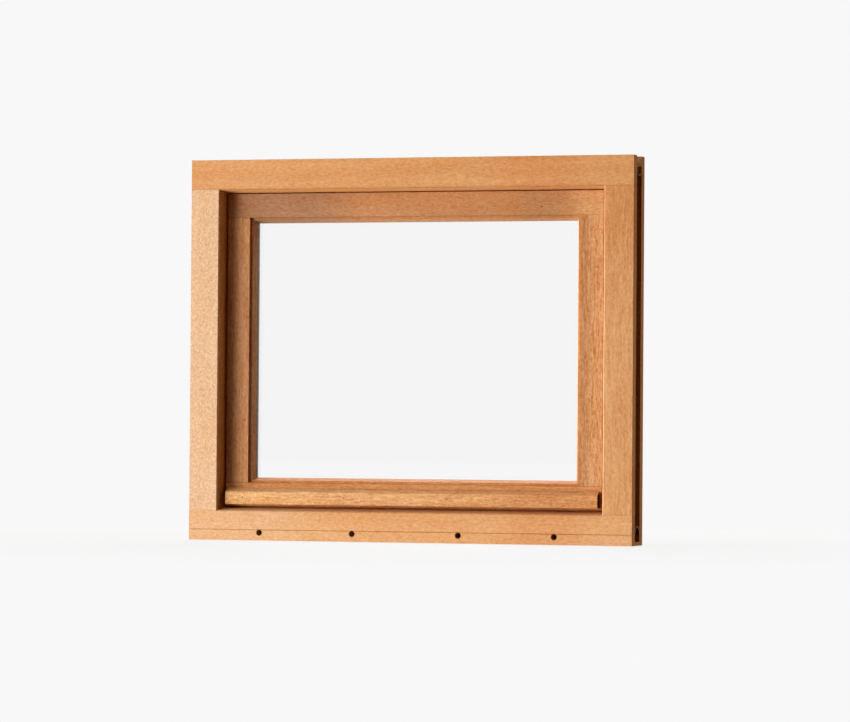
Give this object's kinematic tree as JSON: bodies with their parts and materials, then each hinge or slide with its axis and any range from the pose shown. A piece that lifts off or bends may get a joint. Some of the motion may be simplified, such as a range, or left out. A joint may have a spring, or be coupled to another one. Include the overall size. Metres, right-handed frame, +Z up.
{
  "type": "hopper window",
  "caption": "Timber hopper window: a double-glazed sash hinged at the foot tips into the room from a slotted frame with a splayed reveal, a weather bar and a drained sill.",
  "frame": {"origin": "middle of the sill's underside, halfway through the frame's depth", "axes": "+X to the right seen from outside, +Y into the room, +Z up"},
  "size_m": [0.88, 0.1816, 0.73],
  "materials": {
    "frame_wood": "oiled reddish hardwood, planed",
    "sill_wood": "oiled reddish hardwood, planed",
    "sash_wood": "oiled reddish hardwood, planed",
    "bar_wood": "oiled reddish hardwood, planed",
    "dowel_wood": "plain beech",
    "glass": "clear float glass",
    "spacer": "matt",
    "sealant": "matt",
    "tape": "matt grey-green",
    "gasket": "matt black",
    "block": "matt",
    "satin_steel": "satin",
    "zinc": "zinc plated",
    "pin_steel": "plain steel"
  },
  "bodies": {
    "frame": {"head": "frame_wood", "jamb_left": "frame_wood", "jamb_right": "frame_wood", "sill": "sill_wood", "frame_screws": "zinc", "frame_gasket": "gasket", "hinge_leaf_frame": "satin_steel", "hinge_pins": "satin_steel", "stay_left": "satin_steel", "stay_right": "satin_steel", "keep": "satin_steel", "hardware_screws_frame": "zinc"},
    "sash": {"sash_top_rail": "sash_wood", "sash_bottom_rail": "sash_wood", "sash_stile_left": "sash_wood", "sash_stile_right": "sash_wood", "sash_dowels": "dowel_wood", "weather_bar": "bar_wood", "bead_top": "sash_wood", "bead_bottom": "sash_wood", "bead_left": "sash_wood", "bead_right": "sash_wood", "weather_bar_pins": "pin_steel", "glass_outer": "glass", "glass_inner": "glass", "spacer_bar": "spacer", "edge_seal": "sealant", "glazing_tape_outer": "tape", "glazing_tape_inner": "tape", "setting_blocks": "block", "bead_pins": "pin_steel", "hinge_leaf_sash": "satin_steel", "guide_left": "satin_steel", "guide_right": "satin_steel", "bolt_housing": "satin_steel", "hardware_screws_sash": "zinc"},
    "bolt": {"bolt": "satin_steel", "bolt_knob": "satin_steel"}
  },
  "joints": [
    {"name": "sash_hinge", "type": "hinge", "parent": "frame", "child": "sash", "pos_m": [0, 0.0445, 0.05], "axis": [-1, 0, 0], "range_deg": [0, 38]},
    {"name": "bolt_slide", "type": "slide", "parent": "sash", "child": "bolt", "axis": [0, 0, 1], "range_m": [0, 0.012]}
  ]
}
